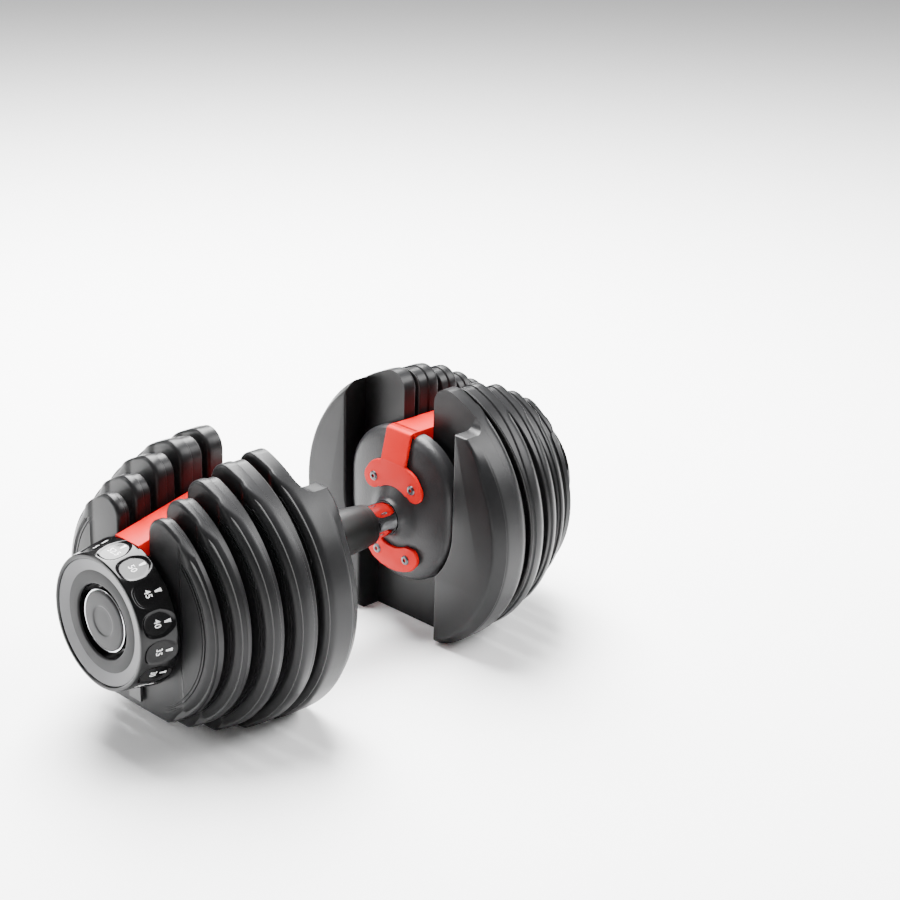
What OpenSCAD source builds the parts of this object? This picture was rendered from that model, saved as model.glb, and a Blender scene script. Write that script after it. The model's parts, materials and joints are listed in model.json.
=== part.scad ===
// Adjustable dumbbell with dial-selected plates.
// X runs along the handle, Z is up, and the floor is Z = 0. Each side is modelled on +X. The left
// side is its mirror image, except that its dial and discs are the same mouldings turned end for
// end. Inside a module the handle's axis is Y = 0, Z = 0.

/* [Whole] */
// Height of the handle's axis above the floor
axis_h = 90.5; // [89:0.5:93]

/* [Plates] */
// Radius of the innermost, largest plate
plate_r1 = 101.5; // [100:0.5:103]
// Thickness of the skin moulded over each steel core
skin = 1.5; // [1.3:0.1:2]
// Air gap between neighbouring plates
plate_gap = 4; // [4:0.5:5]
// Half width of the slot that opens upward in every plate
slot_half = 15; // [14.5:0.5:16]
// Radius that rounds the slot side of each ear
ear_round = 13; // [8:1:13]
// Half width of the flat band down the middle of every outer face
band_half = 47; // [44:1:52]
// Half width of the channel in the innermost plate that holds the end plate
channel_half = 55.5; // [55:0.5:57]
// Depth of that channel
channel_deep = 20.5; // [20:0.5:21]

/* [Handle] */
// Largest diameter of the barrel-shaped grip
grip_d = 34; // [30:1:38]
// Length of the grip
grip_len = 68; // [60:1:74]
// Outer diameter of the chromed tube
tube_d = 25; // [24:0.5:26]
// Half of the clear length of handle between the two end plates
reach = 61; // [60.5:0.5:61.5]

/* [Selector] */
// Diameter of the dial at its inner edge
dial_d = 100.6; // [99:0.2:102]
// Width of the dial along the handle
dial_w = 26.2; // [26:0.1:26.5]
// Radius of the selector discs
disc_r = 33; // [31.5:0.5:34]
// Travel of the lock pin
lock_travel = 4; // [3:0.5:4]

/* [Hidden] */
$fn = 96;

big = 300;                     // larger than any part, for cutting
gap = 0.4;                     // air between pieces that move past each other
run = 0.05;                    // radial clearance of a running fit

// Plates, innermost first
plate_r = [plate_r1, plate_r1 - 2, plate_r1 - 7.5, plate_r1 - 16, plate_r1 - 24];
plate_t = [33, 19, 15.6, 13.2, 10.2];   // thickness in the flat band
plate_foot = [0, 1, 4.5, 11, 18.7];     // how far each flat foot stands above the floor
plate_fall = [3, 5, 5, 4, 3.5];         // how far the outer face falls to the rim
core_t = [0, 17.5, 7, 8.6, 5.3];        // thickness of each steel core; the first fills its plate
plate_in = [for (i = 0, x = reach + 2.3; i < 5; x = x + plate_t[i] + plate_gap, i = i + 1) x];
plate_out = [for (i = [0:4]) plate_in[i] + plate_t[i]];
// Face that each plate's lifting tab stands on
tab_face = [plate_in[0] + channel_deep, plate_in[1], plate_in[2], plate_in[3], plate_in[4]];
ear_proud = 0.1;                // the ear's circle passes this far outside the rim, so they cross cleanly
rim_taper = 9;                 // bevel on the inner edge of the innermost rim
low_block_top = 76.5;          // top of the innermost plate's lower side block
core_ring = disc_r + 1;        // the skin is solid inside this radius, around the lifting tab

// Settings in order round the dial, and the positions at which each plate is lifted
settings = 15;
pitch = 360 / settings;
lifts = [[7, 8, 9, 10, 11, 12, 13, 14], [5, 6, 11, 12, 13, 14], [1, 2, 3, 4, 9, 10, 12, 13, 14],
  [3, 4, 10, 13, 14], [2, 4, 6, 8, 14]];

// Shafts
rod_r = 6;
hub_r = 11;
tube_r = tube_d / 2;
tube_end = reach + 14;         // the tube is seated this far out, inside the end plate
ep_back = plate_in[0] + 15;    // back face of the end plate
hub_start = ep_back + 0.5;

// Bearing leaf of the bridge, between the last plate and the dial
leaf_in = plate_out[4] + 0.5;
leaf_t = 2.2;

// Dial, measured outward from its inner edge
dial_r = dial_d / 2;
dial_in = leaf_in + leaf_t + 0.8;
dial_out = dial_in + dial_w;   // half of the whole length
dial_web = dial_in + 5;        // inner face of the dial's web
web_t = 3;
rim_r = 45.6;                  // radius of the dial's front rim
dish_r = 34.5;                 // where the bevel of the trim ring meets its flat floor
cap_r = 21;
lock_r = 38.5;                 // tips of the lock ring's teeth
lock_teeth = 4 * settings;
tooth_deep = 2;
label_turn = 3.4;              // the label of the set weight stands this far past the top

// Lock pin, which slides in the leaf
pin_half = 6;                  // half width of the lock pin's blade
pin_foot = 64;                 // depth of the pin's foot below the axis
lug_bottom = -17;              // underside of the lug that the lock spring pushes on
pin_shoulder = -31;            // top of the pin, where the spring pushes down

// Bridge strip: level over the thick plates, then falling to the dial
strip_half = 12.2;
strip_t = 2.4;
strip_side = 9;                // depth of the strip's sloping sides
strip_top = 64.6;              // top of the level stretch
strip_low = 50.8;              // top of the strip at the dial
strip_bend = 112;              // where it starts to fall
strip_end = leaf_in + leaf_t;
strap_t = 2.6;
strap_foot = reach - 0.1;      // back of the brackets, on the flat of the end plate
strap_bend = 40;               // height at which the strap leans back
lean = 5.6;                    // how far it has leant back at the top
screw_up = [19.1, 25.1];       // upper screws, across and above the axis
screw_low = [14.6, -30.5];

// ---- placing ----
module right() translate([0, 0, axis_h]) children();
module left() translate([0, 0, axis_h]) mirror([1, 0, 0]) children();
module left_turned() translate([0, 0, axis_h]) rotate([0, 0, 180]) children();
// Draws a (Y, Z) outline and gives it thickness along X
module slab(x0, x1) translate([x0, 0, 0]) rotate([90, 0, 90]) linear_extrude(x1 - x0) children();
// Spins an (X, radius) outline about the handle's axis
module spun() rotate([90, 0, 90]) rotate_extrude() children();
module tube(x0, x1, r_out, r_in) spun() translate([r_in, x0]) square([r_out - r_in, x1 - x0]);
module ring2d(r_out, r_in) difference() {
  circle(r_out);
  circle(r_in);
}

// ---- plates ----
// What is cut from one ear to round it between the slot and the rim
module ear_waste(r, half, f) {
  c = [half + f, sqrt(pow(r - f + ear_proud, 2) - pow(half + f, 2))];
  difference() {
    polygon([c, [half - 1, c[1]], [half - 1, r + 1], c / norm(c) * (r + 6)]);
    translate(c) circle(f);
  }
}

module slot2d(half) {
  circle(half);
  translate([-half, 0]) square([2 * half, big]);
}

// Face outline of a plate, drawn in by inset all round
module plate2d(i, inset = 0) {
  r = plate_r[i] - inset;
  half = slot_half + inset;
  difference() {
    intersection() {
      circle(r);
      translate([-big / 2, plate_foot[i] - axis_h + inset]) square([big, big]);
    }
    slot2d(half);
    ear_waste(r, half, ear_round - inset);
    mirror([1, 0]) ear_waste(r, half, ear_round - inset);
  }
}

// Channel of the innermost plate, grown by grow all round
module channel2d(grow = 0) {
  low = channel_half - 16;
  translate([-channel_half - grow, 3]) square([2 * (channel_half + grow), big]);
  translate([0, 3]) circle(channel_half + grow);
  translate([-low - grow, -big]) square([2 * (low + grow), big]);
}

// Thickness of a plate seen from above: flat band, faces falling away to the rim
module section2d(i, inset = 0, x0) {
  r = plate_r[i];
  x1 = plate_out[i] - inset;
  polygon([[x0, -r], [x0, r], [x1 - plate_fall[i], r], [x1, band_half], [x1, -band_half],
    [x1 - plate_fall[i], -r]]);
}

module plate_solid(i, inset = 0, x0) intersection() {
  slab(x0, plate_out[i]) plate2d(i, inset);
  translate([0, 0, -big / 2]) linear_extrude(big) section2d(i, inset, x0);
}

// The innermost plate: side blocks either side of the channel, the -Y block stopping low
module plate1_solid(inset = 0) {
  x0 = plate_in[0] + inset;
  x1 = plate_out[0];
  r = plate_r[0] - inset;
  difference() {
    plate_solid(0, inset, x0);
    slab(x0 - 1, plate_in[0] + channel_deep + inset) channel2d(inset);
    translate([x0 - 1, -big, low_block_top - inset])
      cube([plate_in[0] + channel_deep + inset - x0 + 1, big - slot_half, big]);
    // bevel on the inner edge of the rim
    spun() polygon([[r - rim_taper * 0.8, x0 - 0.01], [r + 1, x0 - 0.01],
      [r + 1, x0 + rim_taper * 1.2], [r, x0 + rim_taper]]);
  }
}

module lifting_tab(i) translate([tab_face[i] - 1.8, -5, -disc_r + 3.8]) cube([3, 10, 12]);

module steel_core(i) {
  color("dimgray") difference() {
    if (i == 0) plate1_solid(skin);
    else plate_solid(i, skin, plate_out[i] - skin - core_t[i]);
    slab(0, big) circle(core_ring);
  }
}

// Moulded skin; its pocket opens towards the neighbouring plate
module plate(i) {
  color([0.13, 0.13, 0.14]) {
    difference() {
      if (i == 0) plate1_solid();
      else plate_solid(i, 0, plate_in[i]);
      difference() {
        if (i == 0) plate1_solid(skin - run);
        else plate_solid(i, skin - run, plate_in[i] - 1);
        slab(0, big) circle(core_ring - run);
      }
    }
    lifting_tab(i);
  }
}

// ---- handle ----
module centre_rod() color("silver") tube(-dial_out + 8, dial_out - 8, rod_r, 0);

module handle_tube() color([0.85, 0.86, 0.88]) tube(-tube_end, tube_end, tube_r, tube_r - 2.5);

// Barrel-shaped sleeve, an arc of a large circle spun about the tube
module grip() {
  mid_r = grip_d / 2;
  end_r = mid_r - 2.5;
  arc_r = (pow(grip_len / 2, 2) + pow(mid_r - end_r, 2)) / (2 * (mid_r - end_r));
  color([0.07, 0.07, 0.07]) rotate([0, 90, 0]) rotate_extrude() intersection() {
    translate([mid_r - arc_r, 0]) circle(arc_r, $fn = 360);
    translate([tube_r, -grip_len / 2]) square([mid_r, grip_len]);
  }
}

// ---- end plate and its brackets ----
module end_plate2d(inset = 0) {
  half = channel_half - 3.5 - inset;
  top = strip_top - strip_t - 0.2 - inset;
  corner = 42 - inset;
  circle(half);
  translate([-half, 0]) square([2 * half, top - corner]);
  translate([-half + corner, 0]) square([2 * (half - corner), top]);
  for (s = [-1, 1]) translate([s * (half - corner), top - corner]) circle(corner);
}

// Rounded shell: flat in the middle, falling back towards its edge
module end_plate() color([0.2, 0.2, 0.21]) difference() {
  union() {
    intersection() {
      slab(reach, ep_back) end_plate2d();
      spun() polygon([[0, reach], [strap_bend, reach], [strap_bend + 10, reach + 3],
        [strap_bend + 19, reach + 6], [strap_bend + 27, reach + 10],
        [strap_bend + 27, ep_back + 1], [0, ep_back + 1]]);
    }
    rotate([0, 90, 0]) translate([0, 0, reach - 8.5]) cylinder(h = 9, r1 = 15, r2 = 22);
  }
  // hollow back, with a socket left standing round the tube
  slab(reach + 7, ep_back + 1) difference() {
    end_plate2d(9);
    circle(tube_r + 4);
    for (s = [-1, 1], p = [screw_up, screw_low]) translate([s * p[0], p[1]]) circle(4.5);
  }
  tube(reach - 10, tube_end, tube_r + run, 0);
  tube(tube_end - 1, ep_back + 1, rod_r + run, 0);
  screw_holes(1.9);
}

module screw_holes(r) for (s = [-1, 1], p = [screw_up, screw_low])
  translate([reach - 6, s * p[0], p[1]]) rotate([0, 90, 0]) cylinder(h = 15, r = r);

// Sector of a ring about the axis, half degrees each side of straight up
module arc2d(r_out, r_in, half) intersection() {
  ring2d(r_out, r_in);
  polygon([[0, 0], big * [-sin(half), cos(half)], [0, 2 * big], big * [sin(half), cos(half)]]);
}

// Hollow trapezium bar: draws its (Y, depth) section from x0 to x1 along a line of the top
module strip_leg(x0, z0, x1, z1) {
  slope = (z1 - z0) / (x1 - x0);
  low_half = strip_half + 2;
  multmatrix([[1, 0, 0, 0], [0, 1, 0, 0], [slope, 0, 1, z0 - slope * x0], [0, 0, 0, 1]])
    slab(x0, x1) difference() {
      polygon([[-strip_half, 0], [strip_half, 0], [low_half, -strip_side], [-low_half, -strip_side]]);
      polygon([[-strip_half + strip_t, -strip_t], [strip_half - strip_t, -strip_t],
        [low_half - strip_t, -strip_side - 1], [-low_half + strip_t, -strip_side - 1]]);
    }
}

module bridge() color([0.85, 0.1, 0.1]) {
  top_x = strap_foot + lean;
  difference() {
    union() {
      // two-eared bracket, and the strap that leans back to the end plate's top edge
      slab(strap_foot - strap_t, strap_foot) {
        arc2d(norm(screw_up) + 8, norm(screw_up) - 9, 38);
        for (s = [-1, 1]) translate([s * screw_up[0], screw_up[1]]) circle(8.3);
      }
      rotate([90, 0, 0]) translate([0, 0, -strip_half]) linear_extrude(2 * strip_half)
        polygon([[strap_foot - strap_t, 30], [strap_foot, 30], [strap_foot, strap_bend],
          [top_x, strip_top - strip_t], [ep_back + 2, strip_top - strip_t],
          [ep_back + 2, strip_top], [top_x - 2, strip_top], [strap_foot - strap_t, strap_bend]]);
      strip_leg(ep_back + 0.3, strip_top, strip_bend, strip_top);
      strip_leg(strip_bend, strip_top, strip_end, strip_low);
      // leaf behind the dial: bearing for the hub and guide for the lock pin
      slab(leaf_in, leaf_in + leaf_t) {
        circle(22);
        translate([-strip_half, 0]) square([2 * strip_half, strip_low - 1]);
        translate([-11, -44]) square([22, 44]);
      }
      translate([leaf_in + leaf_t - 0.5, -4, lug_bottom]) cube([4, 8, 2.5]);
    }
    screw_holes(2.1);
    slab(leaf_in - 1, big) circle(hub_r + run);
    slab(leaf_in - 1, leaf_in + leaf_t + 0.1) translate([-pin_half - 0.35, -60])
      square([2 * pin_half + 0.7, 60 + pin_shoulder + lock_travel + 1]);
  }
}

module lower_bracket() color([0.85, 0.1, 0.1]) difference() {
  slab(strap_foot - strap_t, strap_foot)
    mirror([0, 1]) arc2d(norm(screw_low) + 9.5, norm(screw_low) - 8.3, 41);
  screw_holes(2.1);
}

module bracket_screws() color([0.3, 0.3, 0.32])
  for (s = [-1, 1], p = [screw_up, screw_low])
    translate([strap_foot - strap_t, s * p[0], p[1]]) rotate([0, 90, 0]) difference() {
      union() {
        translate([0, 0, -1.2]) cylinder(h = 1.2, r1 = 2.9, r2 = 3.6);
        cylinder(h = 11, r = 1.9);
      }
      translate([0, 0, -2]) cylinder(h = 2.2, r = 1.7, $fn = 6);
    }

// ---- selector ----
module selector_hub() color([0.25, 0.25, 0.27])
  tube(hub_start, dial_web + web_t, hub_r, rod_r + run);

// Sector of one dial position, drawn at the foot of the disc when that position is at the top. It
// is a little wider than its pitch, so that neighbours overlap.
module sector2d(k) {
  half = pitch / 2 + 0.5;
  rotate(-90 - (settings - 1 - k) * pitch)
    polygon([[0, 0], [big * cos(half), -big * sin(half)], [big * cos(half), big * sin(half)]]);
}

// Web and collar, with a lip under the plate's tab wherever the plate is to be lifted
module selector_disc(i) color([0.16, 0.16, 0.17]) {
  x = tab_face[i] - 3.6;
  tube(x, x + 1.4, disc_r, hub_r);
  tube(x, x + 5.6, hub_r + 3, hub_r);
  slab(x + 1.4, tab_face[i] - gap) intersection() {
    ring2d(disc_r, disc_r - 3);
    union() for (k = lifts[i]) sector2d(k);
  }
}

module lock_ring() color([0.3, 0.3, 0.32]) slab(dial_in + 0.5, dial_web) difference() {
  ring2d(lock_r + 4.5, lock_r);
  for (k = [0:lock_teeth - 1]) rotate(k * 360 / lock_teeth)
    translate([-1, -lock_r - tooth_deep]) square([2, tooth_deep + 2]);
}

// Blade behind the dial, with a foot below it and a tooth that drops into the lock ring
module lock_pin() color([0.08, 0.08, 0.08]) {
  x1 = leaf_in + leaf_t;
  slab(leaf_in + 0.1, x1 - 0.1) translate([-pin_half, -pin_foot]) square([2 * pin_half, pin_foot + pin_shoulder]);
  slab(x1 - 0.2, dial_web - 0.5) {
    translate([-2.5, pin_shoulder - 5]) square([5, 5]);
    translate([-0.7, -lock_r - tooth_deep + 0.5]) square([1.4, lock_r + tooth_deep - 0.5 + pin_shoulder - 4]);
  }
}

// Coil between the leaf's lug and the pin's shoulder
module lock_spring() {
  turns = 6;
  wire_r = 0.3;
  coil_r = 1.3;
  sides = 8;
  rings = 96;
  z0 = pin_shoulder + wire_r + 0.1;
  z1 = lug_bottom - wire_r - 0.1;
  x = leaf_in + leaf_t + 2;
  pts = [for (k = [0:rings], j = [0:sides - 1])
    let (t = k / rings, a = 360 * turns * t, b = 360 * j / sides, r = coil_r + wire_r * cos(b))
    [x + r * cos(a), r * sin(a), z0 + (z1 - z0) * t + wire_r * sin(b)]];
  quads = [for (k = [0:rings - 1], j = [0:sides - 1])
    [k * sides + j, k * sides + (j + 1) % sides, (k + 1) * sides + (j + 1) % sides,
      (k + 1) * sides + j]];
  caps = [[for (j = [sides - 1:-1:0]) j], [for (j = [0:sides - 1]) rings * sides + j]];
  color("silver") polyhedron(pts, concat(quads, caps));
}

// ---- dial ----
// Drum with a tapering number band and a socket in front for the trim ring and cap
module dial() color([0.06, 0.06, 0.06]) difference() {
  spun() polygon([
    [hub_r, dial_web], [lock_r + 4.5, dial_web], [lock_r + 4.5, dial_in], [dial_r, dial_in],
    [rim_r + 0.4, dial_out - 1], [rim_r, dial_out], [rim_r - 0.6, dial_out],
    [rim_r - 0.6, dial_out - 4.5], [cap_r + 2.5, dial_out - 4.5], [cap_r + 2.5, dial_out - 6.5],
    [cap_r, dial_out - 6.5], [cap_r, dial_web + web_t], [hub_r, dial_web + web_t]]);
  // finger recesses round the number band
  for (k = [0:settings - 1]) rotate([k * pitch - label_turn, 0, 0])
    translate([(dial_in + dial_out) / 2 - 1, 0, (dial_r + rim_r) / 2 + 52]) sphere(r = 53);
}

// Dished front face: a bevel round a flat floor
module dial_trim_ring() color([0.6, 0.6, 0.62]) spun() polygon([
  [cap_r + 2.5, dial_out - 4.4], [rim_r - 0.65, dial_out - 4.4], [rim_r - 0.65, dial_out - 0.2],
  [dish_r, dial_out - 2.4], [cap_r + 3, dial_out - 2.4], [cap_r + 2.5, dial_out - 2.9]]);

module hub_cap() color([0.35, 0.35, 0.37]) spun() difference() {
  polygon([[0, dial_web + web_t], [cap_r - run, dial_web + web_t], [cap_r - run, dial_out - 3.6],
    [cap_r - 1.2, dial_out - 2.6], [cap_r - 7, dial_out - 2.6], [cap_r - 8, dial_out - 2],
    [0, dial_out - 2]]);
  translate([0, dial_web]) square([16, dial_out - 4.5 - dial_web]);
}

module rod_washer() color("silver")
  tube(dial_web + web_t + gap, dial_web + web_t + gap + 1.2, hub_r + 1.5, rod_r + run);

module rod_nut() color("silver") difference() {
  translate([dial_web + web_t + gap + 1.2, 0, 0]) rotate([0, 90, 0]) cylinder(h = 6, r = 10.5, $fn = 6);
  tube(0, big, rod_r, 0);
}

right() centre_rod();
right() handle_tube();
right() grip();
left() end_plate();  // left_end_plate
left() bridge();  // left_bridge
left() lower_bracket();  // left_lower_bracket
left() bracket_screws();  // left_bracket_screws
left_turned() selector_hub();  // left_selector_hub
left_turned() selector_disc(0);  // left_selector_disc_1
left_turned() selector_disc(1);  // left_selector_disc_2
left_turned() selector_disc(2);  // left_selector_disc_3
left_turned() selector_disc(3);  // left_selector_disc_4
left_turned() selector_disc(4);  // left_selector_disc_5
left_turned() lock_ring();  // left_lock_ring
left() lock_pin();  // left_lock_pin
left() lock_spring();  // left_lock_spring
left_turned() dial();  // left_dial
left_turned() dial_trim_ring();  // left_dial_trim_ring
left_turned() hub_cap();  // left_hub_cap
left() rod_nut();  // left_rod_nut
left() rod_washer();  // left_rod_washer
left() plate(0);  // left_plate_1
left() plate(1);  // left_plate_2
left() plate(2);  // left_plate_3
left() plate(3);  // left_plate_4
left() plate(4);  // left_plate_5
left() steel_core(0);  // left_steel_core_1
left() steel_core(1);  // left_steel_core_2
left() steel_core(2);  // left_steel_core_3
left() steel_core(3);  // left_steel_core_4
left() steel_core(4);  // left_steel_core_5
right() end_plate();  // right_end_plate
right() bridge();  // right_bridge
right() lower_bracket();  // right_lower_bracket
right() bracket_screws();  // right_bracket_screws
right() selector_hub();  // right_selector_hub
right() selector_disc(0);  // right_selector_disc_1
right() selector_disc(1);  // right_selector_disc_2
right() selector_disc(2);  // right_selector_disc_3
right() selector_disc(3);  // right_selector_disc_4
right() selector_disc(4);  // right_selector_disc_5
right() lock_ring();  // right_lock_ring
right() lock_pin();  // right_lock_pin
right() lock_spring();  // right_lock_spring
right() dial();  // right_dial
right() dial_trim_ring();  // right_dial_trim_ring
right() hub_cap();  // right_hub_cap
right() rod_nut();  // right_rod_nut
right() rod_washer();  // right_rod_washer
right() plate(0);  // right_plate_1
right() plate(1);  // right_plate_2
right() plate(2);  // right_plate_3
right() plate(3);  // right_plate_4
right() plate(4);  // right_plate_5
right() steel_core(0);  // right_steel_core_1
right() steel_core(1);  // right_steel_core_2
right() steel_core(2);  // right_steel_core_3
right() steel_core(3);  // right_steel_core_4
right() steel_core(4);  // right_steel_core_5
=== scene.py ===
"""Looks of the adjustable dumbbell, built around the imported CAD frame."""

import math
import json
import bpy
import bmesh
from mathutils import Euler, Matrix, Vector
from mathutils.geometry import delaunay_2d_cdt


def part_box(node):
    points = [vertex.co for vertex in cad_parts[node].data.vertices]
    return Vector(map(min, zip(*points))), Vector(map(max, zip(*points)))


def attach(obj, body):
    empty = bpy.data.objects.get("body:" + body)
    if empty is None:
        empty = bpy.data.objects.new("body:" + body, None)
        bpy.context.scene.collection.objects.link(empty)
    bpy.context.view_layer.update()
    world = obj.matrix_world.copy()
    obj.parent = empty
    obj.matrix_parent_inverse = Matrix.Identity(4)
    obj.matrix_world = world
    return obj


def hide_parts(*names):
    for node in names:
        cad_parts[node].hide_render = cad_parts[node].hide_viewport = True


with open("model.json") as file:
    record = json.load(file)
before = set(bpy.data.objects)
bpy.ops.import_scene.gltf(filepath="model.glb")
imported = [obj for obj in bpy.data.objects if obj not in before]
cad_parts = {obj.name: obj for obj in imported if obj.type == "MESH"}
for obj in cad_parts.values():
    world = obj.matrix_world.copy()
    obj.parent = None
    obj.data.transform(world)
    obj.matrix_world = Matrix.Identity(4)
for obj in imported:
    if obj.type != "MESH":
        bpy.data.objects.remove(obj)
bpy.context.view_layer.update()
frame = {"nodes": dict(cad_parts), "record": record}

MM = 0.001
SIDES = {"left": -1, "right": 1}


# ---- sizes read from the frame, in millimetres, with X measured outward ----
def box_mm(node):
    low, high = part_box(node)
    return low / MM, high / MM


rod_low, rod_high = box_mm("centre_rod")
AXIS_Z = (rod_low.z + rod_high.z) / 2
TUBE_R = (box_mm("handle_tube")[1].y - box_mm("handle_tube")[0].y) / 2
TAB_T = 1.8                      # the lifting tabs on the backs of plates 2 to 5


def plate_sizes(i):
    """Inner face, outer face, rim radius and depth of the foot below the axis of plate i."""
    low, high = box_mm(f"right_plate_{i}")
    inner = low.x if i == 1 else low.x + TAB_T
    return inner, high.x, high.y, AXIS_Z - low.z


def turned(side, p):
    """A point (outward X, Y, Z from the axis) of a part that is turned end for end on the left."""
    x, y, z = p
    s = SIDES[side]
    return (s * x * MM, s * y * MM, (z + AXIS_Z) * MM)


def mirrored(side, p):
    """A point of a part that is mirrored on the left."""
    x, y, z = p
    return (SIDES[side] * x * MM, y * MM, (z + AXIS_Z) * MM)


# ---- materials ----
def base_material(name, colour, rough, metallic=0.0, gloss=0.5):
    m = bpy.data.materials.new(name)
    m.use_nodes = True
    shader = m.node_tree.nodes["Principled BSDF"]
    shader.inputs["Base Color"].default_value = (*colour, 1)
    shader.inputs["Roughness"].default_value = rough
    shader.inputs["Metallic"].default_value = metallic
    shader.inputs["Specular IOR Level"].default_value = gloss
    return m, m.node_tree, shader


def noise(tree, scale, detail=2.0, stretch=(1, 1, 1)):
    nodes, links = tree.nodes, tree.links
    coords = nodes.new("ShaderNodeTexCoord")
    mapping = nodes.new("ShaderNodeMapping")
    mapping.inputs["Scale"].default_value = stretch
    links.new(coords.outputs["Object"], mapping.inputs["Vector"])
    tex = nodes.new("ShaderNodeTexNoise")
    tex.inputs["Scale"].default_value = scale
    tex.inputs["Detail"].default_value = detail
    links.new(mapping.outputs["Vector"], tex.inputs["Vector"])
    return tex


def ramp(tree, source, low, high, at=(0.35, 0.65)):
    node = tree.nodes.new("ShaderNodeValToRGB")
    node.color_ramp.elements[0].position = at[0]
    node.color_ramp.elements[1].position = at[1]
    node.color_ramp.elements[0].color = low
    node.color_ramp.elements[1].color = high
    tree.links.new(source, node.inputs["Fac"])
    return node


def grain(tree, shader, layers, distance=0.0002):
    """Bump from noise layers: (scale, strength, stretch) each, finest last."""
    previous = None
    for scale, strength, stretch in layers:
        tex = noise(tree, scale, 3, stretch)
        bump = tree.nodes.new("ShaderNodeBump")
        bump.inputs["Strength"].default_value = strength
        bump.inputs["Distance"].default_value = distance
        tree.links.new(tex.outputs["Fac"], bump.inputs["Height"])
        if previous:
            tree.links.new(previous.outputs["Normal"], bump.inputs["Normal"])
        previous = bump
    tree.links.new(previous.outputs["Normal"], shader.inputs["Normal"])


def vary(tree, shader, colour, spread, rough, rough_spread, scale):
    """Slow drift of colour and roughness over the surface."""
    tex = noise(tree, scale, 4)
    dark = [c * (1 - spread) for c in colour]
    light = [c * (1 + spread) for c in colour]
    tint = ramp(tree, tex.outputs["Fac"], (*dark, 1), (*light, 1))
    tree.links.new(tint.outputs["Color"], shader.inputs["Base Color"])
    low, high = rough - rough_spread, rough + rough_spread
    worn = noise(tree, scale * 2.7, 5)
    gloss = ramp(tree, worn.outputs["Fac"], (low, low, low, 1), (high, high, high, 1), (0.3, 0.7))
    tree.links.new(gloss.outputs["Color"], shader.inputs["Roughness"])


def plastic(name, colour, rough, spread=0.12, grain_scale=1500, grain_strength=0.25, gloss=0.5):
    m, tree, shader = base_material(name, colour, rough, 0.0, gloss)
    vary(tree, shader, colour, spread, rough, 0.05, 14)
    grain(tree, shader, [(grain_scale * 0.3, grain_strength * 0.4, (1, 1, 1)),
                         (grain_scale, grain_strength, (1, 1, 1))], 0.00012)
    return m


def metal(name, colour, rough, stretch=(1, 1, 1), strength=0.05):
    m, tree, shader = base_material(name, colour, rough, 1.0)
    vary(tree, shader, colour, 0.04, rough, rough * 0.25, 40)
    grain(tree, shader, [(900, strength, stretch)], 0.0001)
    return m


def painted(name, colour, rough):
    m, tree, shader = base_material(name, colour, rough, 0.0, 0.08)
    vary(tree, shader, colour, 0.05, rough, 0.05, 30)
    grain(tree, shader, [(420, 0.12, (1, 1, 1)), (1600, 0.1, (1, 1, 1))], 0.0001)
    return m


MATS = {
    "plate_skin": plastic("charcoal_moulding", (0.0075, 0.0075, 0.008), rough=0.36, spread=0.14,
                          grain_scale=1300, grain_strength=0.3, gloss=0.16),
    "end_plate_plastic": plastic("end_plate_moulding", (0.015, 0.015, 0.016), rough=0.4, spread=0.3,
                                 grain_scale=600, grain_strength=1.0, gloss=0.22),
    "dial_plastic": plastic("dial_moulding", (0.002, 0.002, 0.0022), rough=0.16, spread=0.1,
                            grain_scale=1800, grain_strength=0.02, gloss=0.18),
    "trim_grey": plastic("silver_grey_trim", (0.085, 0.085, 0.088), rough=0.36, spread=0.05,
                         grain_scale=2200, grain_strength=0.08, gloss=0.2),
    "cap_grey": plastic("cap_grey", (0.018, 0.018, 0.019), rough=0.4, spread=0.06,
                        grain_scale=2200, grain_strength=0.08, gloss=0.16),
    "grip_rubber": plastic("grip_rubber", (0.006, 0.006, 0.006), rough=0.48, spread=0.15,
                           grain_scale=900, grain_strength=0.4, gloss=0.2),
    "disc_plastic": plastic("disc_moulding", (0.03, 0.03, 0.032), rough=0.45),
    "pin_plastic": plastic("pin_moulding", (0.016, 0.016, 0.017), rough=0.4),
    "core_steel": painted("core_paint", (0.05, 0.05, 0.05), rough=0.5),
    "red_steel": painted("red_paint", (0.5, 0.0045, 0.004), rough=0.5),
    "screw_steel": metal("blackened_steel", (0.09, 0.09, 0.095), rough=0.32),
    "hub_steel": metal("turned_steel", (0.38, 0.38, 0.4), rough=0.35, stretch=(1, 40, 40)),
    "rod_steel": metal("zinc_steel", (0.6, 0.6, 0.62), rough=0.3, stretch=(1, 30, 30)),
    "chrome_tube": metal("chrome", (0.82, 0.83, 0.85), rough=0.06, stretch=(30, 1, 1),
                         strength=0.02),
}
WHITE = plastic("print_white", (0.75, 0.75, 0.74), rough=0.5, spread=0.03)
CHROME_TRIM = metal("trim_chrome", (0.75, 0.76, 0.78), rough=0.15)
FLOOR_GREY = plastic("dish_floor_grey", (0.01, 0.01, 0.0105), rough=0.42, spread=0.08,
                     grain_scale=2200, grain_strength=0.08, gloss=0.12)
for part in frame["record"]["subparts"]:
    data = frame["nodes"][part["node"]].data
    data.materials.clear()
    data.materials.append(MATS[part["material_slot"]])


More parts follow.
